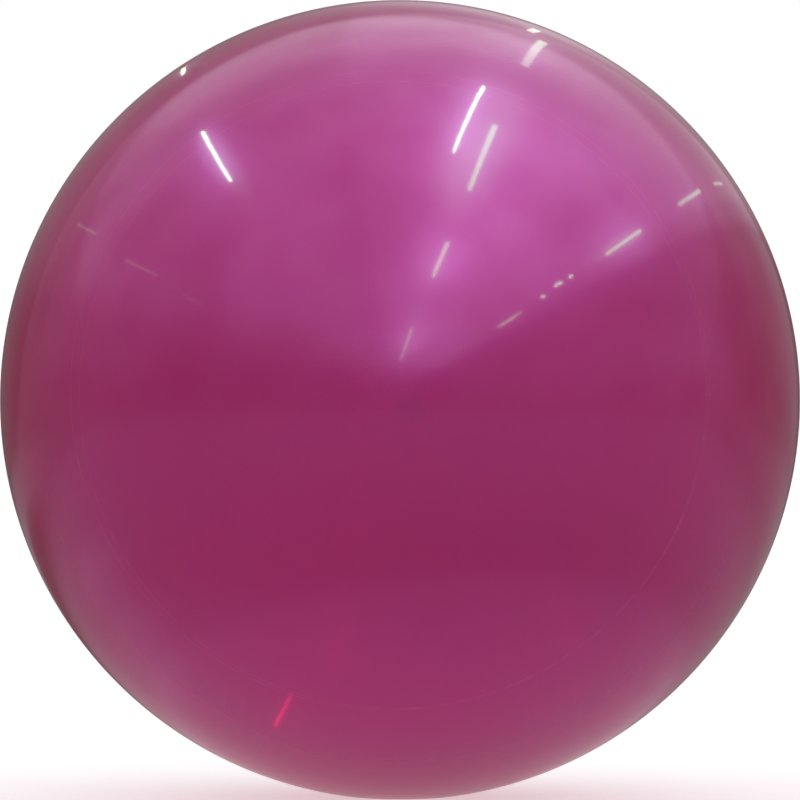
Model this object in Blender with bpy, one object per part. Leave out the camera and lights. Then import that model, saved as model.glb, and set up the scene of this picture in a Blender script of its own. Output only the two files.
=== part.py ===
"""A bubble balloon: one sealed, blown-up envelope of film, lying on a small flat spot.

The ball, its two raised mould rings, the gathers, the neck, the knot and the flat tail are one
length of film, so they are one solid. Its axis lies level along Y: the crown, which has no neck,
faces -Y and the neck points to +Y. The origin is the middle of the flat spot that it lies on.
"""

import math

import bmesh
import bpy
from mathutils import Matrix

# Driving sizes in metres, and angles in degrees
BALL_DIAMETER = 0.500
FLAT_SPOT_DIAMETER = 0.056

# The rings are places on the ball, each an angle from its own pole seen from the ball's centre
CROWN_RING_ANGLE = 48.0
NECK_RING_ANGLE = 55.0
RING_WIDTH = 0.0024
RING_HEIGHT = 0.0007

# The fillet is the hollow curve by which the film leaves the ball and becomes the neck
NECK_DIAMETER = 0.015
NECK_LENGTH = 0.007
NECK_FILLET = 0.020
GATHER_DIAMETER = 0.130
GATHER_DEPTH = 0.0016
GATHER_FOLDS = 12
GATHER_UNEVENNESS = 0.22

# Two slanting strands of the film cross round the knot
KNOT_DIAMETER = 0.030
KNOT_LENGTH = 0.024
KNOT_STRAND_DIAMETER = 0.0105
KNOT_STRAND_SLANT = 24.0

TAIL_LENGTH = 0.062
TAIL_WIDTH = 0.040
TAIL_THICKNESS = 0.0036
TAIL_WAVES = 1.5
TAIL_WAVE_HEIGHT = 0.0026
TAIL_DROOP = 0.013
TAIL_TWIST = 18.0

FILM_COLOR = (0.42, 0.03, 0.19, 1.0)
FILM_ROUGHNESS = 0.18
FILM_METALLIC = 0.35

# How finely the curves are cut into faces
TURN_STEPS = 60
BALL_STEPS = 30
FILLET_STEPS = 4
KNOT_STEPS = 6
STRAND_STEPS = 28
STRAND_SIDES = 10
TAIL_STEPS = 8
MERGE_DISTANCE = 1e-6

# Places along the axis, from the ball's centre
BALL_RADIUS = BALL_DIAMETER / 2
NECK_RADIUS = NECK_DIAMETER / 2
KNOT_CORE_RADIUS = (KNOT_DIAMETER - KNOT_STRAND_DIAMETER) / 2
CENTRE_HEIGHT = math.sqrt(BALL_RADIUS**2 - (FLAT_SPOT_DIAMETER / 2) ** 2)
FILLET_REACH = NECK_RADIUS + NECK_FILLET
NECK_START = math.sqrt((BALL_RADIUS + NECK_FILLET) ** 2 - FILLET_REACH**2)
KNOT_START = NECK_START + NECK_LENGTH
KNOT_END = KNOT_START + KNOT_LENGTH
TAIL_END = KNOT_END + TAIL_LENGTH


def clear_scene():
    """Remove whatever the open file holds."""
    for item in list(bpy.data.objects):
        bpy.data.objects.remove(item)


def smooth(value):
    """Ease a value from 0 to 1 with a level start and end."""
    share = min(max(value, 0.0), 1.0)
    return share * share * (3 - 2 * share)


def blend(start, end, share):
    """The value a share of the way from start to end."""
    return start + (end - start) * share


def ball_stations():
    """Radius and place along the axis of each turn of the ball, crown first, with both rings."""
    last = math.pi - math.asin(FILLET_REACH / (BALL_RADIUS + NECK_FILLET))
    half_ring = RING_WIDTH / 2 / BALL_RADIUS
    rings = (math.radians(CROWN_RING_ANGLE), math.pi - math.radians(NECK_RING_ANGLE))
    turns = [(last * step / BALL_STEPS, BALL_RADIUS) for step in range(BALL_STEPS + 1)]
    clear = 3 * half_ring
    turns = [turn for turn in turns if all(abs(turn[0] - ring) > clear for ring in rings)]
    for ring in rings:
        turns += [
            (ring - half_ring, BALL_RADIUS),
            (ring, BALL_RADIUS + RING_HEIGHT),
            (ring + half_ring, BALL_RADIUS),
        ]
    return [(radius * math.sin(turn), -radius * math.cos(turn)) for turn, radius in sorted(turns)]


def fillet_stations():
    """The hollow curve that leaves the ball and runs into the neck."""
    first = math.acos(FILLET_REACH / (BALL_RADIUS + NECK_FILLET))
    stations = []
    for step in range(1, FILLET_STEPS + 1):
        turn = first * (1 - step / FILLET_STEPS)
        radius = FILLET_REACH - NECK_FILLET * math.cos(turn)
        stations.append((radius, NECK_START - NECK_FILLET * math.sin(turn)))
    return stations


def knot_stations():
    """The core of the knot, swelling up to the middle of the strands that go round it."""
    stations = []
    for step in range(KNOT_STEPS + 1):
        share = step / KNOT_STEPS
        swell = math.sin(math.pi * share) ** 0.7 if 0 < share < 1 else 0.0
        radius = blend(NECK_RADIUS, KNOT_CORE_RADIUS, swell)
        stations.append((radius, blend(KNOT_START, KNOT_END, share)))
    return stations


def tail_stations():
    """The tail while it is still a round tube, closed at its end."""
    stations = []
    for step in range(1, TAIL_STEPS + 1):
        stations.append((NECK_RADIUS, blend(KNOT_END, TAIL_END, step / TAIL_STEPS)))
    return stations + [(0.0, TAIL_END)]


def spin_envelope():
    """Turn the whole profile round the Y axis into one closed skin."""
    mesh = bmesh.new()
    stations = ball_stations() + fillet_stations() + knot_stations() + tail_stations()
    points = [mesh.verts.new((radius, along, 0)) for radius, along in stations]
    lines = [mesh.edges.new(pair) for pair in zip(points, points[1:])]
    bmesh.ops.spin(
        mesh,
        geom=points + lines,
        cent=(0, 0, 0),
        axis=(0, 1, 0),
        angle=2 * math.pi,
        steps=TURN_STEPS,
        use_merge=True,
    )
    bmesh.ops.remove_doubles(mesh, verts=mesh.verts, dist=MERGE_DISTANCE)
    bmesh.ops.recalc_face_normals(mesh, faces=mesh.faces)
    mesh.normal_update()
    return mesh


def gather_height(radius, along, angle):
    """Rise and fall of the gathers: none on the ball, full at the neck and none past it."""
    if along < 0 or along > KNOT_START:
        return 0.0
    reach = GATHER_DIAMETER / 2 * (1 + GATHER_UNEVENNESS * math.sin(3 * angle))
    share = (reach - radius) / (reach - NECK_RADIUS)
    uneven = 1 + GATHER_UNEVENNESS * math.cos(5 * angle)
    return GATHER_DEPTH * uneven * smooth(share) * math.cos(GATHER_FOLDS * angle)


def fold_film(mesh):
    """Fold the gathers into the film round the neck."""
    for vert in mesh.verts:
        angle = math.atan2(vert.co.z, vert.co.x)
        radius = math.hypot(vert.co.x, vert.co.z)
        if radius < MERGE_DISTANCE:
            continue
        vert.co += vert.normal * gather_height(radius, vert.co.y, angle)


def press_tail(mesh):
    """Press the tube past the knot flat, spread it, wave it, twist it and let it droop."""
    for vert in mesh.verts:
        if vert.co.y <= KNOT_END:
            continue
        share = (vert.co.y - KNOT_END) / TAIL_LENGTH
        half_width = blend(NECK_RADIUS, TAIL_WIDTH / 2, smooth(share))
        half_thick = blend(NECK_RADIUS, TAIL_THICKNESS / 2, smooth(2 * share))
        across = half_width * vert.co.x / NECK_RADIUS
        wave = math.sin(2 * math.pi * TAIL_WAVES * across / TAIL_WIDTH)
        vert.co.x = across
        vert.co.z = half_thick * vert.co.z / NECK_RADIUS + TAIL_WAVE_HEIGHT * share * wave
        vert.co = Matrix.Rotation(math.radians(TAIL_TWIST) * share, 3, "Y") @ vert.co
        vert.co.z -= TAIL_DROOP * share**2


def press_flat_spot(mesh):
    """Cut the ball flat where it lies, close the cut and set it on the ground."""
    floor = -CENTRE_HEIGHT
    cut = bmesh.ops.bisect_plane(
        mesh,
        geom=mesh.verts[:] + mesh.edges[:] + mesh.faces[:],
        dist=MERGE_DISTANCE,
        plane_co=(0, 0, floor),
        plane_no=(0, 0, -1),
        clear_outer=True,
    )
    rim = [item for item in cut["geom_cut"] if isinstance(item, bmesh.types.BMEdge)]
    bmesh.ops.holes_fill(mesh, edges=rim, sides=0)
    for vert in {vert for edge in rim for vert in edge.verts}:
        vert.co.z = floor
    bmesh.ops.translate(mesh, verts=mesh.verts, vec=(0, 0, CENTRE_HEIGHT))
    bmesh.ops.recalc_face_normals(mesh, faces=mesh.faces)


def film_material():
    """The coloured, pearly film."""
    material = bpy.data.materials.new("film")
    material.use_nodes = True
    shader = material.node_tree.nodes["Principled BSDF"]
    shader.inputs["Base Color"].default_value = FILM_COLOR
    shader.inputs["Roughness"].default_value = FILM_ROUGHNESS
    shader.inputs["Metallic"].default_value = FILM_METALLIC
    material.diffuse_color = FILM_COLOR
    return material


def make_strand(side):
    """One strand of the knot, a slanting ring that is joined to the envelope."""
    mesh = bmesh.new()
    section = bmesh.ops.create_circle(mesh, segments=STRAND_SIDES, radius=KNOT_STRAND_DIAMETER / 2)
    bmesh.ops.translate(mesh, verts=section["verts"], vec=(KNOT_CORE_RADIUS, 0, 0))
    bmesh.ops.spin(
        mesh,
        geom=mesh.verts[:] + mesh.edges[:],
        cent=(0, 0, 0),
        axis=(0, 1, 0),
        angle=2 * math.pi,
        steps=STRAND_STEPS,
        use_merge=True,
    )
    bmesh.ops.recalc_face_normals(mesh, faces=mesh.faces)
    slant = Matrix.Rotation(side * math.radians(KNOT_STRAND_SLANT), 4, "X")
    offset = (KNOT_LENGTH - KNOT_STRAND_DIAMETER) / 4
    middle = (KNOT_START + KNOT_END) / 2 + side * offset
    place = Matrix.Translation((0, middle, CENTRE_HEIGHT))
    mesh.transform(place @ slant)
    data = bpy.data.meshes.new("knot_strand")
    mesh.to_mesh(data)
    mesh.free()
    data.shade_smooth()
    strand = bpy.data.objects.new("knot_strand", data)
    strand.hide_render = True
    strand.display_type = "WIRE"
    bpy.context.scene.collection.objects.link(strand)
    return strand


def make_balloon():
    """The whole envelope as one object."""
    mesh = spin_envelope()
    fold_film(mesh)
    press_tail(mesh)
    press_flat_spot(mesh)
    data = bpy.data.meshes.new("balloon")
    mesh.to_mesh(data)
    mesh.free()
    data.shade_smooth()
    data.set_sharp_from_angle(angle=math.radians(35))
    data.materials.append(film_material())
    balloon = bpy.data.objects.new("balloon", data)
    bpy.context.scene.collection.objects.link(balloon)
    for side in (-1, 1):
        join = balloon.modifiers.new("strand", "BOOLEAN")
        join.operation = "UNION"
        join.solver = "EXACT"
        join.object = make_strand(side)
    return balloon


clear_scene()
make_balloon()
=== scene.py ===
"""Looks of a bubble balloon: pearly film with mould rings, gathers, a knot and a tail.

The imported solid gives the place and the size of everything. The envelope, the knot and the tail
are made here again as fine film, and a pale floor, soft light and rows of strip lamps show them.
"""

import logging
import math
import random
from collections.abc import Callable, Iterable
from dataclasses import dataclass
from enum import Enum
from functools import reduce

import bmesh
import bpy
from mathutils import Matrix, Vector

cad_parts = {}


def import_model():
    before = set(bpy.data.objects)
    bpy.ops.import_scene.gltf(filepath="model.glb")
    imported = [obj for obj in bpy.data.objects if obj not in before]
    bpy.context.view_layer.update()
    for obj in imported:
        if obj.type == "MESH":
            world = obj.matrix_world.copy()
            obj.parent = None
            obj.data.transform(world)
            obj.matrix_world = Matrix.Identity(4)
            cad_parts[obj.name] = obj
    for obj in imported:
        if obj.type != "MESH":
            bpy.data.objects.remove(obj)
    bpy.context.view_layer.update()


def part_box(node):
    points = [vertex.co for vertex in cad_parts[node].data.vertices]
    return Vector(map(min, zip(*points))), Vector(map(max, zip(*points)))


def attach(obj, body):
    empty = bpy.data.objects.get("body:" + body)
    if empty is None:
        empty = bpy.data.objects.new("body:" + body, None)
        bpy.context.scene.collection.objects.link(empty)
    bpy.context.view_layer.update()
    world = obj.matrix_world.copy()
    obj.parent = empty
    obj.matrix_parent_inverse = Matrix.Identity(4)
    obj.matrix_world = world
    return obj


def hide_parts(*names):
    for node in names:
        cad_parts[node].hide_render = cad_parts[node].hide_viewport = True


LOG = logging.getLogger("balloon")

BODY = "root"
NODE = "balloon"
FULL_TURN = 2 * math.pi
MERGE_DISTANCE = 1e-7
MOULD_LINES = ("Crown", "Twin", "Neck")
STREAK_STRETCH = (1.0, 0.12, 1.0)

Color = tuple[float, float, float, float]
Point = tuple[float, float, float]
Pair = tuple[float, float]
Stops = tuple[Pair, ...]
Profile = list[Pair]
Section = Callable[[float, float], float]
Socket = bpy.types.NodeSocket
Value = Socket | float
Given = Value | Point | Color


def ease(value: float) -> float:
    """Ease a value from 0 to 1, with a level start and end.

    Args:
        value: Any number; it is held between 0 and 1.

    Returns:
        The eased value.
    """
    share = min(max(value, 0.0), 1.0)
    return share * share * (3 - 2 * share)


def mix(start: float, end: float, share: float) -> float:
    """Give the value a share of the way from start to end.

    Args:
        start: The value at share 0.
        end: The value at share 1.
        share: How far along.

    Returns:
        The value between them.
    """
    return start + (end - start) * share


def crease(angle: float) -> float:
    """Give the height of film that hangs in folds: sharp ridges with round hollows between.

    Args:
        angle: Place across the folds, one fold each full turn.

    Returns:
        Height from -1 in the hollow to 1 on the ridge.
    """
    return 1 - 2 * abs(math.sin(angle / 2)) ** 0.8


def spin_round_axis(mesh: bmesh.types.BMesh, profile: Profile, turns: int) -> None:
    """Spin a profile round the Y axis into a closed skin.

    Args:
        mesh: The mesh that receives the skin.
        profile: Radius and place along Y of each point, from pole to pole.
        turns: How many faces go round.
    """
    points = [mesh.verts.new((radius, along, 0)) for radius, along in profile]
    lines = [mesh.edges.new(pair) for pair in zip(points, points[1:])]
    bmesh.ops.spin(
        mesh,
        geom=points + lines,
        cent=(0, 0, 0),
        axis=(0, 1, 0),
        angle=FULL_TURN,
        steps=turns,
        use_merge=True,
    )
    bmesh.ops.remove_doubles(mesh, verts=mesh.verts, dist=MERGE_DISTANCE)
    bmesh.ops.recalc_face_normals(mesh, faces=mesh.faces)
    mesh.normal_update()


def finish_piece(
    mesh: bmesh.types.BMesh, name: str, material: bpy.types.Material
) -> bpy.types.Object:
    """Make an object of a finished mesh, shaded smooth, and link it to the scene.

    Args:
        mesh: The mesh, in the frame's own coordinates; it is freed.
        name: The piece's name.
        material: Its finish.

    Returns:
        The new object, at the origin.
    """
    bmesh.ops.recalc_face_normals(mesh, faces=mesh.faces)
    data = bpy.data.meshes.new(name)
    mesh.to_mesh(data)
    mesh.free()
    data.shade_smooth()
    data.materials.append(material)
    piece = bpy.data.objects.new(name, data)
    bpy.context.scene.collection.objects.link(piece)
    return piece


@dataclass(frozen=True)
class Sizes:
    """Sizes of the balloon in metres, the same as the solid's."""

    radius: float
    tail_end: float
    flat_spot_radius: float = 0.028
    crown_ring_turn: float = math.radians(48.0)
    neck_ring_turn: float = math.radians(55.0)
    neck_radius: float = 0.0075
    neck_length: float = 0.007
    fillet: float = 0.020
    knot_length: float = 0.024
    knot_radius: float = 0.015
    strand_radius: float = 0.00525
    strand_slant: float = math.radians(24.0)

    @property
    def centre_height(self) -> float:
        """Height of the ball's centre over the floor."""
        return math.sqrt(self.radius**2 - self.flat_spot_radius**2)

    @property
    def fillet_reach(self) -> float:
        """Distance from the axis to the middle of the fillet's curve."""
        return self.neck_radius + self.fillet

    @property
    def neck_start(self) -> float:
        """Place along Y where the fillet ends and the neck begins."""
        return math.sqrt((self.radius + self.fillet) ** 2 - self.fillet_reach**2)

    @property
    def knot_start(self) -> float:
        """Place along Y where the knot begins."""
        return self.neck_start + self.neck_length

    @property
    def knot_end(self) -> float:
        """Place along Y where the tail leaves the knot."""
        return self.knot_start + self.knot_length

    @property
    def core_radius(self) -> float:
        """Distance from the axis to the middle of the knot's strands."""
        return self.knot_radius - self.strand_radius

    @classmethod
    def from_frame(cls) -> "Sizes":
        """Read the ball's radius and the tail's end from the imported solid.

        Returns:
            The sizes of the balloon.
        """
        low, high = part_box(NODE)
        return cls(radius=-low[1], tail_end=high[1])


@dataclass(frozen=True)
class Fade:
    """A level that changes along a value, from one number to another."""

    start: Value
    end: Value
    before: float
    after: float


@dataclass(frozen=True)
class Wiring:
    """Adds nodes to one tree and links them."""

    tree: bpy.types.NodeTree

    def feed(self, node: bpy.types.Node, inputs: dict[str | int, Given]) -> bpy.types.Node:
        """Set a node's inputs, or link the sockets that lead to them.

        Args:
            node: The node.
            inputs: The value or the socket for each input, by its name or place.

        Returns:
            The same node.
        """
        for title, given in inputs.items():
            if isinstance(given, Socket):
                self.tree.links.new(given, node.inputs[title])
            else:
                node.inputs[title].default_value = given
        return node

    def add(self, kind: str, inputs: dict[str | int, Given] | None = None) -> bpy.types.Node:
        """Add a node of a kind, with its inputs set or linked."""
        return self.feed(self.tree.nodes.new(kind), inputs or {})

    def add_group(
        self, group: bpy.types.NodeTree, inputs: dict[str | int, Given]
    ) -> bpy.types.Node:
        """Place a node group.

        Args:
            group: The group.
            inputs: The value or the socket for each of its inputs.

        Returns:
            The group's node.
        """
        node = self.tree.nodes.new("ShaderNodeGroup")
        node.node_tree = group
        return self.feed(node, inputs)

    def calculate(self, operation: str, *values: Value) -> Socket:
        """Work out one value from others.

        Args:
            operation: The math node's operation.
            values: The values, or the sockets with them.

        Returns:
            The socket with the outcome.
        """
        node = self.add("ShaderNodeMath", dict(enumerate(values)))
        node.operation = operation
        return node.outputs["Value"]

    def product(self, first: Socket, second: Value) -> Socket:
        """Multiply two values."""
        return self.calculate("MULTIPLY", first, second)

    def total(self, values: Iterable[Socket]) -> Socket:
        """Add up all the values."""
        return reduce(lambda first, second: self.calculate("ADD", first, second), values)

    def vector_math(self, operation: str, *vectors: Socket | Point) -> bpy.types.Node:
        """Work on vectors.

        Args:
            operation: The vector math node's operation.
            vectors: The vectors, or the sockets with them.

        Returns:
            The node, with its outputs Vector and Value.
        """
        node = self.add("ShaderNodeVectorMath", dict(enumerate(vectors)))
        node.operation = operation
        return node

    def split(self, vector: Socket) -> tuple[Socket, ...]:
        """Give the sockets with a vector's X, Y and Z."""
        return tuple(self.add("ShaderNodeSeparateXYZ", {"Vector": vector}).outputs)

    def blend(self, share: Socket, first: Given, second: Given, kind: str = "FLOAT") -> Socket:
        """Mix two values or colours.

        Args:
            share: The socket with the share of the second.
            first: What shows at share 0.
            second: What shows at share 1.
            kind: FLOAT for values, RGBA for colours.

        Returns:
            The socket with the mixture.
        """
        mixer = self.tree.nodes.new("ShaderNodeMix")
        mixer.data_type = kind
        return self.feed(mixer, {"Factor": share, "A": first, "B": second}).outputs["Result"]

    def fade(self, value: Socket, fade: Fade, interpolation: str = "SMOOTHSTEP") -> Socket:
        """Lead a value from one level to another.

        Args:
            value: The socket that is followed.
            fade: Where the change begins and ends, and the levels before and after it.
            interpolation: SMOOTHSTEP for a soft change, LINEAR for an even one.

        Returns:
            The socket with the level.
        """
        change = self.add(
            "ShaderNodeMapRange",
            {
                "Value": value,
                "From Min": fade.start,
                "From Max": fade.end,
                "To Min": fade.before,
                "To Max": fade.after,
            },
        )
        change.interpolation_type = interpolation
        return change.outputs["Result"]

    def noise(self, vector: Socket, scale: Value, detail: float) -> Socket:
        """Give soft noise over a surface, from 0 to 1."""
        inputs = {"Vector": vector, "Scale": scale, "Detail": detail}
        return self.add("ShaderNodeTexNoise", inputs).outputs["Fac"]


def start_group(
    name: str, inputs: dict[str, str], outputs: dict[str, str]
) -> tuple[Wiring, bpy.types.NodeOutputs, bpy.types.Node]:
    """Start a node group with named inputs and outputs.

    Args:
        name: The group's name.
        inputs: The kind of each input by its name: Vector, Color or Float.
        outputs: The kind of each output by its name.

    Returns:
        The group's wiring, the sockets of its inputs and the node that takes its outputs.
    """
    group = bpy.data.node_groups.new(name, "ShaderNodeTree")
    for way, sockets in (("INPUT", inputs), ("OUTPUT", outputs)):
        for title, kind in sockets.items():
            group.interface.new_socket(title, in_out=way, socket_type=f"NodeSocket{kind}")
    wiring = Wiring(group)
    return wiring, wiring.add("NodeGroupInput").outputs, wiring.add("NodeGroupOutput")


def mould_line_group() -> bpy.types.NodeTree:
    """Build, once, the node group that marks the mould rings as fine, broken lines.

    Returns:
        The group, which puts out 1 on a ring's line and 0 away from it.
    """
    known = bpy.data.node_groups.get("mould_lines")
    if known:
        return known
    inputs = {"Vector": "Vector"}
    for title in MOULD_LINES:
        inputs |= {f"{title} Way": "Vector", f"{title} Place": "Float", f"{title} Width": "Float"}
    wiring, given, result = start_group("mould_lines", inputs, {"Mask": "Float"})
    masks = []
    for title in MOULD_LINES:
        along = wiring.vector_math("DOT_PRODUCT", given["Vector"], given[f"{title} Way"])
        off = wiring.calculate("SUBTRACT", along.outputs["Value"], given[f"{title} Place"])
        edge = Fade(0.0, given[f"{title} Width"], 1.0, 0.0)
        masks.append(wiring.fade(wiring.calculate("ABSOLUTE", off), edge))
    lines = reduce(lambda first, second: wiring.calculate("MAXIMUM", first, second), masks)
    worn = wiring.noise(given["Vector"], scale=120.0, detail=1.0)
    left = wiring.fade(worn, Fade(0.38, 0.58, 0.15, 1.0), "LINEAR")
    wiring.feed(result, {"Mask": wiring.product(lines, left)})
    return wiring.tree


def pigment_group() -> bpy.types.NodeTree:
    """Build, once, the node group for pearly pigment that flowed as the film was blown.

    Returns:
        The group, which puts out a colour, a roughness and the height of the flakes.
    """
    known = bpy.data.node_groups.get("pigment_flow")
    if known:
        return known
    inputs = {"Vector": "Vector", "Body": "Color", "Pearl": "Color", "Deep": "Color"}
    for title in ("Cloud Scale", "Streak Scale", "Flake Scale", "Roughness", "Roughness Spread"):
        inputs[title] = "Float"
    outputs = {"Color": "Color", "Roughness": "Float", "Flake": "Float"}
    wiring, given, result = start_group("pigment_flow", inputs, outputs)
    clouds = wiring.noise(given["Vector"], given["Cloud Scale"], detail=3.0)
    drawn = wiring.vector_math("MULTIPLY", given["Vector"], STREAK_STRETCH).outputs["Vector"]
    streaks = wiring.noise(drawn, given["Streak Scale"], detail=4.0)
    flakes = wiring.add(
        "ShaderNodeTexVoronoi", {"Vector": given["Vector"], "Scale": given["Flake Scale"]}
    )
    flake = wiring.add("ShaderNodeSeparateColor", {"Color": flakes.outputs["Color"]})
    thin = wiring.fade(clouds, Fade(0.35, 0.65, 0.0, 0.55), "LINEAR")
    thick = wiring.fade(streaks, Fade(0.45, 0.75, 0.0, 0.5), "LINEAR")
    film = wiring.blend(thin, given["Body"], given["Deep"], "RGBA")
    film = wiring.blend(thick, film, given["Pearl"], "RGBA")
    off = wiring.calculate("SUBTRACT", clouds, 0.5)
    rough = wiring.calculate("MULTIPLY_ADD", off, given["Roughness Spread"], given["Roughness"])
    wiring.feed(result, {"Color": film, "Roughness": rough, "Flake": flake.outputs["Red"]})
    return wiring.tree


class Layer(Enum):
    """Which film is dressed: the stretched ball, or the slack film that is tied."""

    BALL = "ball_film"
    TIED = "tied_film"


@dataclass(frozen=True)
class FilmFinish:
    """Pearly, coloured, slightly see-through film."""

    layer: Layer
    sizes: Sizes
    line_width: float = 0.0015
    neck_line_share: float = 1.4
    twin_way: Point = (0.013, 1.0, -0.018)
    body: Color = (0.680, 0.010, 0.080, 1.0)
    pearl: Color = (0.740, 0.022, 0.115, 1.0)
    deep: Color = (0.590, 0.007, 0.055, 1.0)
    mould_line: Color = (0.760, 0.060, 0.130, 1.0)
    sheen_color: Color = (0.64, 0.09, 0.92, 1.0)
    light_through: Color = (0.86, 0.05, 0.24, 1.0)
    film_share: float = 0.70
    pearl_ior: float = 3.25
    roughness: float = 0.22
    roughness_spread: float = 0.03
    coat_roughness: float = 0.06
    coat_ior: float = 1.6
    cloud_scale: float = 7.0
    streak_scale: float = 9.0
    flake_scale: float = 1400.0
    flake_bump: float = 0.00004

    def line_places(self) -> list[tuple[str, Point, float, float]]:
        """Give each mould line's name, its plane and its width across the plane.

        Returns:
            Name, plane's direction, place along it and half width of each line.
        """
        size = self.sizes
        crown, neck = size.crown_ring_turn, size.neck_ring_turn
        half = self.line_width / 2
        level = (0.0, 1.0, 0.0)
        crown_place, crown_half = -size.radius * math.cos(crown), half * math.sin(crown)
        neck_place = size.radius * math.cos(neck)
        return [
            (MOULD_LINES[0], level, crown_place, crown_half),
            (MOULD_LINES[1], self.twin_way, crown_place, crown_half),
            (MOULD_LINES[2], level, neck_place, self.neck_line_share * half * math.sin(neck)),
        ]

    def material(self) -> bpy.types.Material:
        """Build the film's material.

        Returns:
            The material.
        """
        made = bpy.data.materials.new(self.layer.value)
        made.use_nodes = True
        made.node_tree.nodes.clear()
        wiring = Wiring(made.node_tree)
        place = wiring.add("ShaderNodeTexCoord").outputs["Object"]
        pigment = wiring.add_group(
            pigment_group(),
            {
                "Vector": place,
                "Body": self.body,
                "Pearl": self.pearl,
                "Deep": self.deep,
                "Cloud Scale": self.cloud_scale,
                "Streak Scale": self.streak_scale,
                "Flake Scale": self.flake_scale,
                "Roughness": self.roughness,
                "Roughness Spread": self.roughness_spread,
            },
        )
        marks = {"Vector": place}
        for title, way, along, half in self.line_places():
            marks |= {f"{title} Way": way, f"{title} Place": along, f"{title} Width": half}
        mask = wiring.add_group(mould_line_group(), marks).outputs["Mask"]
        flakes = {"Distance": self.flake_bump, "Height": pigment.outputs["Flake"]}
        shader = wiring.add(
            "ShaderNodeBsdfPrincipled",
            {
                "Base Color": wiring.blend(mask, pigment.outputs["Color"], self.mould_line, "RGBA"),
                "Roughness": pigment.outputs["Roughness"],
                "Normal": wiring.add("ShaderNodeBump", flakes).outputs["Normal"],
                "IOR": self.pearl_ior,
                "Specular Tint": self.sheen_color,
                "Coat Weight": 1.0,
                "Coat Roughness": self.coat_roughness,
                "Coat IOR": self.coat_ior,
            },
        )
        through = wiring.add("ShaderNodeBsdfTransparent", {"Color": self.light_through})
        shaders = {1: through.outputs["BSDF"], 2: shader.outputs["BSDF"]}
        joined = wiring.add("ShaderNodeMixShader", {"Fac": self.film_share} | shaders)
        wiring.add("ShaderNodeOutputMaterial", {"Surface": joined.outputs["Shader"]})
        return made


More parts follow.
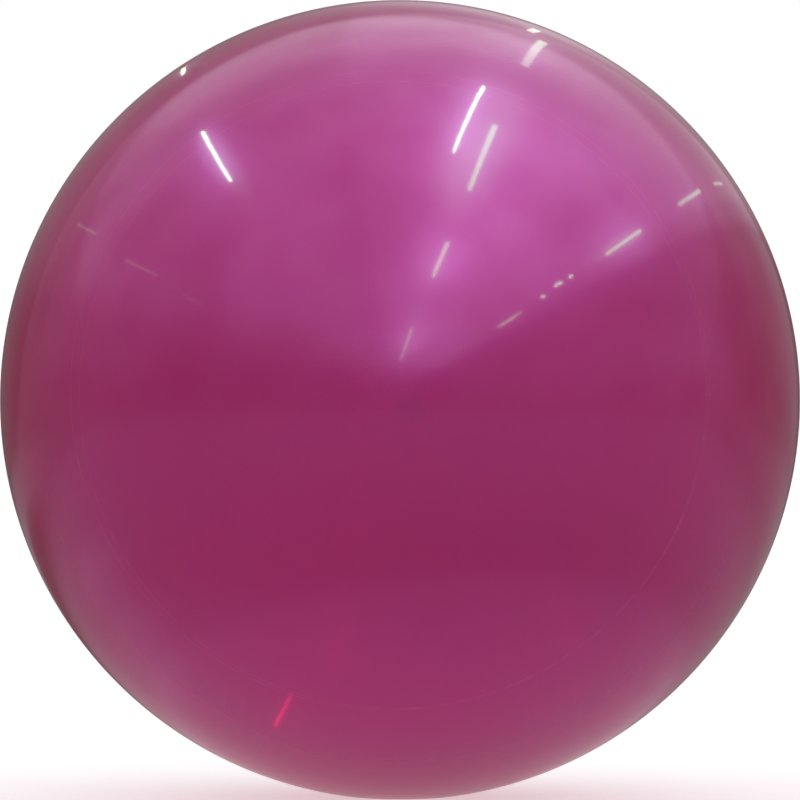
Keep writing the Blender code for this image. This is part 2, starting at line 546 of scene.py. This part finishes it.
@dataclass
class Envelope:
    """The blown film: ball, mould rings, pressed spot, gathers and neck, down into the knot."""

    sizes: Sizes
    turns: int = 288
    ball_steps: int = 150
    fillet_steps: int = 14
    neck_steps: int = 6
    ring_width: float = 0.0013
    ring_height: float = 0.00002
    ring_foot: float = 2.0
    ring_gap: float = 2.5
    main_folds: int = 12
    fine_folds: int = 31
    main_reach: float = 0.065
    main_height: float = 0.0016
    main_unevenness: float = 0.22
    fine_reach: float = 0.034
    fine_height: float = 0.0007
    warps: tuple[Point, ...] = ((0.05, 3, 0.6), (0.03, 5, 2.1))
    stray_count: int = 9
    stray_reach: float = 0.100
    stray_height: float = 0.00030
    stray_width: float = math.radians(3.2)
    stray_start: float = 0.02
    press_softness: float = 0.0005
    seed: int = 7

    def profile(self) -> Profile:
        """Give the radius and place along Y of every station, from the crown into the knot.

        Returns:
            The stations, pole to pole.
        """
        size = self.sizes
        last = math.pi - math.asin(size.fillet_reach / (size.radius + size.fillet))
        rings = (size.crown_ring_turn, math.pi - size.neck_ring_turn)
        half = self.ring_width / 2 / size.radius
        gap, foot = self.ring_gap * half, self.ring_foot * half
        turns = [(last * step / self.ball_steps, 0.0) for step in range(self.ball_steps + 1)]
        turns = [turn for turn in turns if all(abs(turn[0] - ring) > gap for ring in rings)]
        for ring in rings:
            for share in (-1.0, -0.5, 0.0, 0.5, 1.0):
                rise = self.ring_height * (1 + math.cos(math.pi * share)) / 2
                turns.append((ring + share * half, rise))
            turns += [(ring - foot, 0.0), (ring + foot, 0.0)]
        stations = []
        for turn, rise in sorted(turns):
            reach = size.radius + rise
            stations.append((reach * math.sin(turn), -reach * math.cos(turn)))
        first = math.acos(size.fillet_reach / (size.radius + size.fillet))
        for step in range(1, self.fillet_steps + 1):
            turn = first * (1 - step / self.fillet_steps)
            radius = size.fillet_reach - size.fillet * math.cos(turn)
            stations.append((radius, size.neck_start - size.fillet * math.sin(turn)))
        middle = (size.knot_start + size.knot_end) / 2
        for step in range(1, self.neck_steps + 1):
            along = mix(size.neck_start, middle, step / self.neck_steps)
            stations.append((size.neck_radius, along))
        return stations + [(0.0, middle)]

    def strays(self) -> list[Point]:
        """Give the angle, reach and height of the few long creases that leave the gathers.

        Returns:
            One entry for each crease.
        """
        chance = random.Random(self.seed)
        found = []
        for index in range(self.stray_count):
            angle = FULL_TURN * (index + chance.uniform(-0.35, 0.35)) / self.stray_count
            reach = self.stray_reach * chance.uniform(0.6, 1.0)
            found.append((angle, reach, self.stray_height * chance.uniform(0.4, 1.0)))
        return found

    def gather(self, radius: float, angle: float, strays: list[Point]) -> float:
        """Give how far the gathered film stands off its smooth form.

        Args:
            radius: Distance from the balloon's axis.
            angle: Place round the axis.
            strays: The long creases.

        Returns:
            Height along the film's normal.
        """
        neck = self.sizes.neck_radius
        uneven = self.main_unevenness
        warped = angle
        for shift, waves, start in self.warps:
            warped += shift * math.sin(waves * angle + start)
        reach = self.main_reach * (1 + uneven * math.sin(3 * angle))
        share = ease((reach - radius) / (reach - neck))
        height = self.main_height * (1 + uneven * math.cos(5 * angle)) * share
        total = height * crease(self.main_folds * warped)
        share = ease((self.fine_reach - radius) / (self.fine_reach - neck))
        total += self.fine_height * share * crease(self.fine_folds * warped)
        for place, length, rise in strays:
            off = (angle - place + math.pi) % FULL_TURN - math.pi
            fade = ease((length - radius) / length) * ease(radius / self.stray_start)
            total += rise * fade * math.exp(-((off / self.stray_width) ** 2))
        return total

    def build(self, material: bpy.types.Material) -> bpy.types.Object:
        """Model the envelope.

        Args:
            material: The ball's film.

        Returns:
            The piece.
        """
        size = self.sizes
        mesh = bmesh.new()
        spin_round_axis(mesh, self.profile(), self.turns)
        strays = self.strays()
        for vert in mesh.verts:
            radius = math.hypot(vert.co.x, vert.co.z)
            if vert.co.y < 0 or radius < MERGE_DISTANCE:
                continue
            angle = math.atan2(vert.co.z, vert.co.x)
            vert.co += vert.normal * self.gather(radius, angle, strays)
        for vert in mesh.verts:
            vert.co.z = self.pressed(vert.co.z + size.centre_height)
        return finish_piece(mesh, "film_ball", material)

    def pressed(self, height: float) -> float:
        """Flatten film that would reach below the floor, with a soft edge to the flat spot.

        Args:
            height: Height over the floor before pressing.

        Returns:
            Height after pressing.
        """
        soft = self.press_softness
        if height >= soft:
            return height
        if height <= -soft:
            return 0.0
        return max(height, 0.0) + (soft - abs(height)) ** 2 / (4 * soft)


def sweep(
    mesh: bmesh.types.BMesh,
    path: list[Vector],
    sides: int,
    section: Section,
) -> None:
    """Sweep a ring along a path by extruding it from point to point, and close both ends.

    Args:
        mesh: The mesh that receives the tube.
        path: Middle of the tube, point by point.
        sides: How many faces go round.
        section: Radius of the tube, from the share along it and the angle round it.
    """
    frames = path_frames(path)
    ring = bmesh.ops.create_circle(mesh, segments=sides, radius=1.0)["verts"]
    edges = list({edge for vert in ring for edge in vert.link_edges})
    count = len(path) - 1
    verts = sorted(ring, key=lambda vert: math.atan2(vert.co.y, vert.co.x))
    starts = [math.atan2(vert.co.y, vert.co.x) for vert in verts]
    ends = [edges[:]]
    shape_ring(verts, starts, frames[0], 0.0, section)
    for step in range(1, count + 1):
        grown = bmesh.ops.extrude_edge_only(mesh, edges=edges)["geom"]
        edges = [item for item in grown if isinstance(item, bmesh.types.BMEdge)]
        edges = [edge for edge in edges if all(vert not in verts for vert in edge.verts)]
        fresh = {vert for edge in edges for vert in edge.verts}
        verts = [
            next(edge.other_vert(vert) for edge in vert.link_edges if edge.other_vert(vert) in fresh)
            for vert in verts
        ]
        shape_ring(verts, starts, frames[step], step / count, section)
    ends.append(edges)
    for rim in ends:
        bmesh.ops.holes_fill(mesh, edges=rim, sides=0)


def shape_ring(
    verts: list[bmesh.types.BMVert],
    angles: list[float],
    place: Matrix,
    share: float,
    section: Section,
) -> None:
    """Set one ring of a swept tube in its place.

    Args:
        verts: The ring's vertices, in order.
        angles: The angle of each vertex round the tube.
        place: The tube's frame there.
        share: How far along the tube it is, from 0 to 1.
        section: Radius of the tube, from the share and the angle.
    """
    for vert, angle in zip(verts, angles):
        radius = section(share, angle)
        vert.co = place @ Vector((radius * math.cos(angle), radius * math.sin(angle), 0))


def path_frames(path: list[Vector]) -> list[Matrix]:
    """Carry a frame along a path without letting it roll.

    Args:
        path: The points.

    Returns:
        For each point, a matrix with Z along the path.
    """
    count = len(path)
    ways = [(path[min(i + 1, count - 1)] - path[max(i - 1, 0)]).normalized() for i in range(count)]
    side = ways[0].orthogonal().normalized()
    frames = []
    for point, way in zip(path, ways):
        side = (side - way * side.dot(way)).normalized()
        over = way.cross(side)
        turn = Matrix((side, over, way)).transposed().to_4x4()
        frames.append(Matrix.Translation(point) @ turn)
    return frames


@dataclass
class Knot:
    """The overhand knot, tied in the neck of the film itself."""

    sizes: Sizes
    steps: int = 150
    sides: int = 40
    loops: float = 1.72
    first_turn: float = math.radians(-100.0)
    folds: int = 7
    fold_depth: float = 0.11
    over_rise: float = 0.0012
    end_share: float = 0.16
    over_start: float = 0.42
    over_share: float = 0.16
    lead_share: float = 0.12
    overlap: float = 0.003

    def path(self) -> list[Vector]:
        """Lead the strand from the neck, twice round in crossing slants, and out to the tail.

        Returns:
            The strand's middle line.
        """
        size = self.sizes
        middle = (size.knot_start + size.knot_end) / 2
        offset = (size.knot_length - 2 * size.strand_radius) / 4
        lean = size.core_radius * math.tan(size.strand_slant)
        points = []
        for step in range(self.steps + 1):
            share = step / self.steps
            angle = self.first_turn + FULL_TURN * self.loops * share
            out = ease(share / self.end_share) * ease((1 - share) / self.end_share)
            over = ease((share - self.over_start) / self.over_share)
            reach = (size.core_radius + self.over_rise * over) * out
            early = middle - offset + lean * math.sin(angle)
            late = middle + offset - lean * math.sin(angle)
            along = mix(early, late, over)
            lead_in, lead_out = share / self.lead_share, (share - 1) / self.lead_share + 1
            along = mix(size.knot_start - self.overlap, along, ease(lead_in))
            along = mix(along, size.knot_end + self.overlap, ease(lead_out))
            points.append(Vector((reach * math.cos(angle), along, reach * math.sin(angle))))
        return [point + Vector((0, 0, size.centre_height)) for point in points]

    def section(self, share: float, angle: float) -> float:
        """Give the strand's radius, folded lengthwise and slacker in the middle.

        Args:
            share: How far along the strand.
            angle: Place round the strand.

        Returns:
            Its radius there.
        """
        base = self.sizes.strand_radius * (0.92 + 0.08 * math.sin(math.pi * share))
        folds = crease(self.folds * angle + 5.0 * share)
        folds += 0.5 * math.sin(3 * angle - 9.0 * share)
        return base * (1 + self.fold_depth * folds * 0.6)

    def build(self, material: bpy.types.Material) -> bpy.types.Object:
        """Model the knot.

        Args:
            material: The tied film.

        Returns:
            The piece.
        """
        mesh = bmesh.new()
        sweep(mesh, self.path(), self.sides, self.section)
        return finish_piece(mesh, "film_knot", material)


@dataclass
class Tail:
    """The end of the film past the knot: a tube pressed flat, open at its mouth."""

    sizes: Sizes
    turns: int = 160
    steps: int = 60
    inner_steps: int = 16
    width: float = 0.040
    thickness: float = 0.0032
    wall: float = 0.0004
    mouth_depth: float = 0.022
    seam: float = 0.0028
    waves: float = 1.5
    wave_height: float = 0.0026
    droop: float = 0.013
    twist: float = math.radians(18.0)
    folds: int = 9
    fold_height: float = 0.0009
    fold_reach: float = 0.75
    flatness: float = 0.6

    @property
    def length(self) -> float:
        """Length of the tail from the knot to its mouth."""
        return self.sizes.tail_end - self.sizes.knot_end

    def profile(self) -> Profile:
        """Give the tail as a round tube: out to the mouth, over its lip and back inside.

        Returns:
            Radius and place along Y of each station, pole to pole.
        """
        size = self.sizes
        outer = size.neck_radius
        inner = outer - self.wall
        root = (size.knot_start + size.knot_end) / 2
        stations = [(0.0, root)]
        for step in range(self.steps + 1):
            stations.append((outer, mix(root, size.tail_end, step / self.steps)))
        for step in range(self.inner_steps + 1):
            back = size.tail_end - self.mouth_depth * step / self.inner_steps
            stations.append((inner, back))
        return stations + [(0.0, size.tail_end - self.mouth_depth)]

    def press(self, point: Vector) -> Vector:
        """Press, spread, wave, twist and droop one point of the round tube.

        Args:
            point: A point of the tube, measured from the ball's centre.

        Returns:
            Where it goes.
        """
        size = self.sizes
        neck = size.neck_radius
        share = max(point.y - size.knot_end, 0.0) / self.length
        radius = math.hypot(point.x, point.z)
        wall = neck - radius if radius > neck / 2 else 0.0
        half_width = mix(neck, self.width / 2, ease(share)) - wall
        half_thick = mix(neck, self.thickness / 2, ease(2 * share)) - wall
        angle = math.atan2(point.z, point.x)
        flat = ease(2 * share)
        across = half_width * math.cos(angle)
        round_up = math.sin(angle)
        tiny = 1e-6
        edge = max(0.0, 1 - abs(across) / max(half_width, tiny))
        pillow = math.copysign(min(1.0, edge * half_width / self.seam) ** 0.6, round_up)
        pillow = pillow if abs(round_up) > tiny else 0.0
        up = half_thick * mix(round_up, pillow, self.flatness * flat)
        if radius < MERGE_DISTANCE:
            across, up = 0.0, 0.0
        crumple = self.fold_height * (1 - ease(share / self.fold_reach))
        crumple *= crease(self.folds * angle + 0.7)
        up += crumple * round_up
        across += crumple * math.cos(angle)
        wave = math.sin(FULL_TURN * self.waves * across / self.width)
        up += self.wave_height * share * wave
        bent = Matrix.Rotation(self.twist * share, 3, "Y") @ Vector((across, point.y, up))
        bent.z -= self.droop * share**2
        return bent

    def build(self, material: bpy.types.Material) -> bpy.types.Object:
        """Model the tail.

        Args:
            material: The tied film.

        Returns:
            The piece.
        """
        mesh = bmesh.new()
        spin_round_axis(mesh, self.profile(), self.turns)
        rise = Vector((0, 0, self.sizes.centre_height))
        for vert in mesh.verts:
            vert.co = self.press(vert.co) + rise
        return finish_piece(mesh, "film_tail", material)


@dataclass(frozen=True)
class Lamp:
    """A strip lamp that lies level along Y, or nearly, measured from the ball's centre."""

    row: float
    start: float
    end: float
    brightness: float = 1.0
    width: float = 0.035
    slant: float = 0.0
    whiteness: float = 0.0


@dataclass(frozen=True)
class LightShadePatch:
    """A round patch of painted light or painted shade on the floor, by its share, that only glossy
    looks show.
    """

    across: float
    along: float
    inner: float
    outer: float
    share: float


@dataclass(frozen=True)
class Glow:
    """A soft glow on the ceiling, in its place on a ceiling one unit up."""

    across: float
    along: float
    half_width: float
    half_length: float
    brightness: float


@dataclass
class Studio:
    """Pale floor, soft overhead light, rows of strip lamps, surroundings and camera."""

    sizes: Sizes
    lamp_height: float = 2.0
    lamp_radiance: float = 48.0
    lamp_tint: Point = (0.25, 1.0, 0.30)
    glint_place: Point = (-0.0891, -0.1279, 0.0006)
    glint_size: Pair = (0.0030, 0.043)
    glint_slant: float = math.radians(6.8)
    glint_radiance: float = 3.2
    glint_tint: Point = (1.0, 0.0, 0.06)
    backdrop: Color = (1.0, 1.0, 1.0, 1.0)
    floor_radius: float = 14.0
    floor_sides: int = 96
    floor_roughness: float = 0.7
    floor_gloss: float = 0.2
    floor_seen: float = 0.85
    floor_lift: float = 0.50
    floor_dull: float = 0.75
    floor_bounce: Fade = Fade(0.30, 0.62, 0.66, 0.68)
    # Painted light: the floor's glow near the ball, which is no lamp.
    floor_glow: Fade = Fade(0.08, 0.42, 0.30, 0.0)
    # Painted shade: in glossy looks the floor darkens further behind the ball.
    floor_shade_behind: Fade = Fade(0.05, 0.60, 1.0, 0.64)
    floor_end: Fade = Fade(1.2, 5.0, 0.0, 1.0)
    # Patches of painted light and painted shade on the floor, seen only in glossy looks.
    floor_light_shade_patches: tuple[LightShadePatch, ...] = (
        LightShadePatch(-0.52, 0.80, 0.20, 0.66, 0.35),
        LightShadePatch(-0.44, 0.00, 0.02, 0.17, 1.35),
        LightShadePatch(-0.27, -0.05, 0.02, 0.12, 1.25),
        LightShadePatch(0.05, -0.06, 0.250, 0.290, 1.15),
    )
    room_tint: Color = (1.0, 0.97, 1.0, 1.0)
    walls_across: Fade = Fade(-0.7, 0.5, 0.37, 0.41)
    walls_along: Fade = Fade(0.10, 0.65, 1.0, 0.62)
    dim_way: Point = (-0.22, 0.964, 0.15)
    dimming: Fade = Fade(0.862, 0.880, 1.0, 0.66)
    even_light: Fade = Fade(-0.1, 0.9, 0.67, 0.65)
    lowest_rise: float = 0.02
    ceiling_start: Fade = Fade(0.03, 0.16, 0.0, 1.5)
    across: Stops = (
        (-4.0, 0.10),
        (-1.7, 0.38),
        (-0.6, 0.62),
        (-0.20, 0.70),
        (-0.14, 0.90),
        (0.12, 1.00),
        (0.30, 1.20),
        (0.50, 1.05),
        (1.40, 0.95),
        (1.60, 0.62),
        (1.85, 0.22),
        (3.0, 0.08),
    )
    along: Stops = (
        (-8.0, 0.22),
        (-5.5, 0.42),
        (-2.0, 0.58),
        (0.3, 0.60),
        (0.7, 0.76),
        (1.10, 0.76),
        (1.36, 0.38),
        (2.2, 0.34),
        (6.0, 0.22),
    )
    glow_edge: float = 1.6
    glows: tuple[Glow, ...] = (
        Glow(0.48, -0.30, 0.36, 0.75, 0.72),
        Glow(1.40, -0.20, 0.28, 0.50, 0.85),
        Glow(0.34, -1.30, 0.20, 0.45, 0.85),
        Glow(0.30, -3.70, 0.30, 1.30, 0.70),
        Glow(0.20, 2.90, 0.45, 1.10, 0.55),
    )
    near_start: Fade = Fade(0.03, 0.16, 0.0, 1.0)
    near_tint: Color = (0.25, 1.0, 0.32, 1.0)
    near_glows: tuple[Glow, ...] = (
        Glow(0.31, -0.22, 0.14, 0.44, 2.4),
        Glow(1.42, -0.26, 0.08, 0.32, 1.6),
        Glow(-0.75, 0.02, 0.07, 0.32, 1.7),
        Glow(0.33, -1.33, 0.06, 0.30, 0.8),
        Glow(0.15, 0.88, 0.90, 0.45, 0.22),
    )
    uneven_scale: float = 3.2
    uneven_detail: float = 2.0
    unevenness: Fade = Fade(0.3, 0.7, 0.84, 1.16)
    camera_distance: float = 3.0
    camera_azimuth: float = math.radians(1.56)
    camera_elevation: float = math.radians(-1.15)
    sensor: float = 36.0

    def lamps(self) -> list[Lamp]:
        """Give the strip lamps, in four rows along the ceiling.

        Returns:
            The lamps.
        """
        return [
            Lamp(0.49, -0.71, 0.31, 0.90, 0.018, -4.0, 0.25),
            Lamp(0.70, -1.19, -0.20, 0.22, 0.045),
            Lamp(0.71, 1.03, 2.57, 0.065, 0.055, 0.0, 0.40),
            Lamp(0.60, 3.10, 4.10, 0.055, 0.05, 0.0, 0.60),
            Lamp(0.66, -3.13, -2.16, 0.19, 0.055, -2.4, 0.10),
            Lamp(0.43, -12.0, -6.0, 0.11, 0.08, -1.6, 0.15),
            Lamp(2.87, -1.04, -0.05, 0.24, 0.055, 2.9, 0.08),
            Lamp(2.76, 1.24, 2.43, 0.09, 0.07, 2.5, 0.25),
            Lamp(2.70, 3.70, 4.90, 0.04, 0.05, 0.0, 0.60),
            Lamp(2.88, -2.08, -1.98, 0.60, 0.045, 0.0, 0.30),
            Lamp(2.86, -2.51, -2.28, 0.60, 0.045, 0.0, 0.30),
            Lamp(2.94, -3.07, -2.94, 0.60, 0.045, 0.0, 0.30),
            Lamp(2.99, -5.34, -4.03, 0.26, 0.05, 0.0, 0.20),
            Lamp(-1.51, -0.51, 0.55, 1.0, 0.022, -3.2, 0.42),
            Lamp(-1.38, 3.60, 5.40, 0.12, 0.035, 0.0, 0.60),
            Lamp(-3.64, 1.57, 2.85, 0.04, 0.03, 0.0, 0.40),
            Lamp(-3.92, -0.85, 0.23, 0.07, 0.03, 0.0, 0.40),
            Lamp(-4.18, -2.66, -1.92, 0.04, 0.03, 0.0, 0.40),
        ]

    def add_area(
        self, name: str, middle: Point, size: Pair, radiance: float, tint: Point
    ) -> bpy.types.Object:
        """Hang a rectangle of light that faces down and shows only in glossy looks.

        Args:
            name: The light's name.
            middle: Its place.
            size: Its width along X and length along Y.
            radiance: How bright its face is.
            tint: Its colour.

        Returns:
            The light's object.
        """
        light = bpy.data.lights.new(name, "AREA")
        light.shape = "RECTANGLE"
        light.size, light.size_y = size
        light.energy = radiance * math.pi * size[0] * size[1]
        light.color = tint
        holder = bpy.data.objects.new(name, light)
        holder.location = middle
        holder.visible_camera = False
        holder.visible_diffuse = False
        bpy.context.scene.collection.objects.link(holder)
        return holder

    def hang_lights(self) -> None:
        """Hang the strip lamps level, in their rows, and lay one small red glint by the ball."""
        height = self.sizes.centre_height + self.lamp_height
        for index, lamp in enumerate(self.lamps()):
            middle = (lamp.row, (lamp.start + lamp.end) / 2, height)
            size = (lamp.width, lamp.end - lamp.start)
            radiance = self.lamp_radiance * lamp.brightness
            tint = tuple(mix(part, 1.0, lamp.whiteness) for part in self.lamp_tint)
            holder = self.add_area(f"strip_{index:02d}", middle, size, radiance, tint)
            holder.rotation_euler.z = math.radians(lamp.slant)
        place, radiance = self.glint_place, self.glint_radiance
        glint = self.add_area("glint", place, self.glint_size, radiance, self.glint_tint)
        glint.rotation_euler = (math.pi, 0.0, self.glint_slant)

    def lay_floor(self) -> bpy.types.Object:
        """Lay a wide, pale floor that turns into the backdrop far away. Near the ball it glows with
        painted light for all looks but the camera's own, and glossy looks show painted light and
        shade on it.

        Returns:
            The floor.
        """
        mesh = bmesh.new()
        bmesh.ops.create_circle(
            mesh, cap_ends=True, segments=self.floor_sides, radius=self.floor_radius
        )
        material = bpy.data.materials.new("pale_floor")
        material.use_nodes = True
        material.cycles.emission_sampling = "NONE"
        tree = material.node_tree
        wiring = Wiring(tree)
        place = wiring.add("ShaderNodeTexCoord").outputs["Object"]
        away = wiring.vector_math("LENGTH", place).outputs["Value"]
        ray = wiring.add("ShaderNodeLightPath")
        direct = self.seen_direct(wiring, ray)
        dull = wiring.blend(
            ray.outputs["Is Glossy Ray"], self.floor_dull, self.floor_shine(wiring, place)
        )
        shade = wiring.product(wiring.fade(away, self.floor_bounce), dull)
        # Painted light: near the ball the floor glows for all rays but the camera's direct look,
        # lighting the ball from below.
        glow = wiring.product(wiring.fade(away, self.floor_glow), dull)
        near = wiring.feed(
            tree.nodes["Principled BSDF"],
            {
                "Base Color": wiring.blend(direct, shade, self.floor_seen),
                "Roughness": self.floor_roughness,
                "Specular IOR Level": self.floor_gloss,
                "Emission Color": self.backdrop,
                "Emission Strength": wiring.blend(direct, glow, self.floor_lift),
            },
        )
        outward = wiring.vector_math("NORMALIZE", place).outputs["Vector"]
        level = wiring.blend(direct, wiring.product(*self.walls(wiring, outward)), 1.0)
        far = wiring.add("ShaderNodeEmission", {"Color": self.backdrop, "Strength": level})
        shaders = {1: near.outputs["BSDF"], 2: far.outputs["Emission"]}
        share = wiring.fade(away, self.floor_end)
        both = wiring.add("ShaderNodeMixShader", {"Fac": share} | shaders)
        wiring.feed(tree.nodes["Material Output"], {"Surface": both.outputs["Shader"]})
        return finish_piece(mesh, "floor", material)

    def floor_shine(self, wiring: Wiring, place: Socket) -> Socket:
        """Give how bright the floor shows in glossy looks: painted shade behind the ball, and a few
        patches of painted light and shade.

        Args:
            wiring: The nodes to add to.
            place: The place on the floor.

        Returns:
            The socket with the share of the floor's own brightness.
        """
        # Painted shade: the floor darkens behind the ball, for glossy looks only.
        level = wiring.fade(wiring.split(place)[1], self.floor_shade_behind)
        # Painted light and shade: lighter and darker round patches that only glossy looks show.
        for patch in self.floor_light_shade_patches:
            middle = (patch.across, patch.along, 0.0)
            apart = wiring.vector_math("DISTANCE", place, middle).outputs["Value"]
            edge = Fade(patch.inner, patch.outer, patch.share, 1.0)
            level = wiring.product(level, wiring.fade(apart, edge))
        return level

    def walls(self, wiring: Wiring, way: Socket) -> tuple[Socket, Socket]:
        """Give how bright the walls are, and how far the part behind the balloon is dimmed.

        Args:
            wiring: The nodes to add to.
            way: The direction looked in.

        Returns:
            The socket with the walls' brightness, and the one with the share left of it.
        """
        toward = wiring.vector_math("DOT_PRODUCT", way, self.dim_way).outputs["Value"]
        side, depth, _ = wiring.split(way)
        level = wiring.fade(side, self.walls_across)
        level = wiring.product(level, wiring.fade(depth, self.walls_along))
        return level, wiring.fade(toward, self.dimming)

    def seen_direct(self, wiring: Wiring, ray: bpy.types.Node) -> Socket:
        """Tell what the camera sees directly from what it sees through the film.

        Args:
            wiring: The nodes to add to.
            ray: The light path node.

        Returns:
            The socket with 1 where the camera looks straight at it, or else 0.
        """
        depth = ray.outputs["Transparent Depth"]
        straight = wiring.calculate("SUBTRACT", ray.outputs["Is Camera Ray"], depth)
        return wiring.calculate("MAXIMUM", straight, 0.0)

    def set_surroundings(self) -> None:
        """Show a pale backdrop to the camera, even light to dull looks, a room to glossy ones."""
        world = bpy.data.worlds.new("surroundings")
        world.use_nodes = True
        world.cycles.sampling_method = "NONE"
        bpy.context.scene.world = world
        tree = world.node_tree
        wiring = Wiring(tree)
        way = wiring.add("ShaderNodeTexCoord").outputs["Generated"]
        ray = wiring.add("ShaderNodeLightPath")
        side, depth, rise = wiring.split(way)
        height = wiring.calculate("MAXIMUM", rise, self.lowest_rise)
        spot = [wiring.calculate("DIVIDE", part, height) for part in (side, depth)]
        level = wiring.fade(rise, self.ceiling_start)
        for part, stops in zip(spot, (self.across, self.along)):
            level = wiring.product(level, self.ceiling_profile(wiring, part, stops))
        walls, behind = self.walls(wiring, way)
        glows = [self.glow_spot(wiring, spot, glow) for glow in self.glows]
        level = wiring.product(wiring.total([level, *glows, walls]), behind)
        uneven = wiring.noise(way, self.uneven_scale, self.uneven_detail)
        level = wiring.product(level, wiring.fade(uneven, self.unevenness))
        even = wiring.fade(rise, self.even_light)
        strength = wiring.blend(ray.outputs["Is Diffuse Ray"], level, even)
        room = tree.nodes["Background"]
        wiring.feed(room, {"Color": self.room_tint, "Strength": strength})
        spots = wiring.total([self.glow_spot(wiring, spot, glow) for glow in self.near_glows])
        over = wiring.product(wiring.fade(rise, self.near_start), ray.outputs["Is Glossy Ray"])
        shine = {"Color": self.near_tint, "Strength": wiring.product(spots, over)}
        near = wiring.add("ShaderNodeBackground", shine)
        shaders = (room.outputs["Background"], near.outputs["Background"])
        mirrored = wiring.add("ShaderNodeAddShader", dict(enumerate(shaders)))
        shown = wiring.add("ShaderNodeBackground", {"Color": self.backdrop})
        shaders = {1: mirrored.outputs["Shader"], 2: shown.outputs["Background"]}
        direct = {"Fac": self.seen_direct(wiring, ray)}
        chosen = wiring.add("ShaderNodeMixShader", direct | shaders)
        wiring.feed(tree.nodes["World Output"], {"Surface": chosen.outputs["Shader"]})

    def glow_spot(self, wiring: Wiring, spot: list[Socket], glow: Glow) -> Socket:
        """Give the soft glow on the ceiling round a lamp.

        Args:
            wiring: The world's nodes.
            spot: Place looked at across and along the ceiling, one unit up.
            glow: The glow.

        Returns:
            The socket with the glow's brightness.
        """
        middle, reach = (glow.across, glow.along), (glow.half_width, glow.half_length)
        squares = []
        for part, start, length in zip(spot, middle, reach):
            off = wiring.calculate("SUBTRACT", part, start)
            share = wiring.calculate("DIVIDE", off, length)
            squares.append(wiring.calculate("POWER", share, 2.0))
        away = wiring.calculate("POWER", wiring.total(squares), 0.5)
        return wiring.fade(away, Fade(0.0, self.glow_edge, glow.brightness, 0.0))

    def ceiling_profile(self, wiring: Wiring, place: Socket, stops: Stops) -> Socket:
        """Give how bright the ceiling is across one of its directions.

        Args:
            wiring: The world's nodes.
            place: The socket with the place looked at, on a ceiling one unit up.
            stops: Place and brightness there.

        Returns:
            The socket with the brightness.
        """
        first, last = stops[0][0], stops[-1][0]
        share = wiring.fade(place, Fade(first, last, 0.0, 1.0), "LINEAR")
        ramp = wiring.add("ShaderNodeValToRGB", {"Fac": share})
        ramp.color_ramp.interpolation = "EASE"
        stages = ramp.color_ramp.elements
        while len(stages) < len(stops):
            stages.new(0.5)
        for stage, (spot, level) in zip(stages, stops):
            stage.position = (spot - first) / (last - first)
            stage.color = (level, level, level, 1.0)
        return ramp.outputs["Color"]

    def place_camera(self) -> None:
        """Look level along the balloon's axis, with the ball filling the square picture."""
        size = self.sizes
        azimuth, elevation = self.camera_azimuth, self.camera_elevation
        level = math.cos(elevation)
        back = Vector((math.sin(azimuth) * level, -math.cos(azimuth) * level, math.sin(elevation)))
        outline = math.asin(size.radius / self.camera_distance)
        lens = bpy.data.cameras.new("camera")
        lens.sensor_width = self.sensor
        lens.lens = self.sensor / 2 / math.tan(outline)
        camera = bpy.data.objects.new("camera", lens)
        camera.location = Vector((0, 0, size.centre_height)) + back * self.camera_distance
        camera.rotation_mode = "QUATERNION"
        camera.rotation_quaternion = (-back).to_track_quat("-Z", "Y")
        bpy.context.scene.collection.objects.link(camera)
        bpy.context.scene.camera = camera


def main() -> None:
    """Load the frame, build and dress each piece, set the studio and log each piece's faces."""
    logging.basicConfig(level=logging.INFO, format="%(name)s: %(message)s")
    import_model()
    sizes = Sizes.from_frame()
    studio = Studio(sizes)
    bpy.context.scene.view_settings.view_transform = "Standard"
    studio.place_camera()
    ball_film = FilmFinish(Layer.BALL, sizes).material()
    tied_film = FilmFinish(Layer.TIED, sizes).material()
    ball = Envelope(sizes).build(ball_film)
    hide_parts(NODE)
    pieces = [ball, Knot(sizes).build(tied_film), Tail(sizes).build(tied_film)]
    for piece in pieces:
        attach(piece, BODY)
        LOG.info("%s: %d faces", piece.name, len(piece.data.polygons))
    studio.hang_lights()
    studio.set_surroundings()
    studio.lay_floor()


if __name__ == "__main__":
    main()
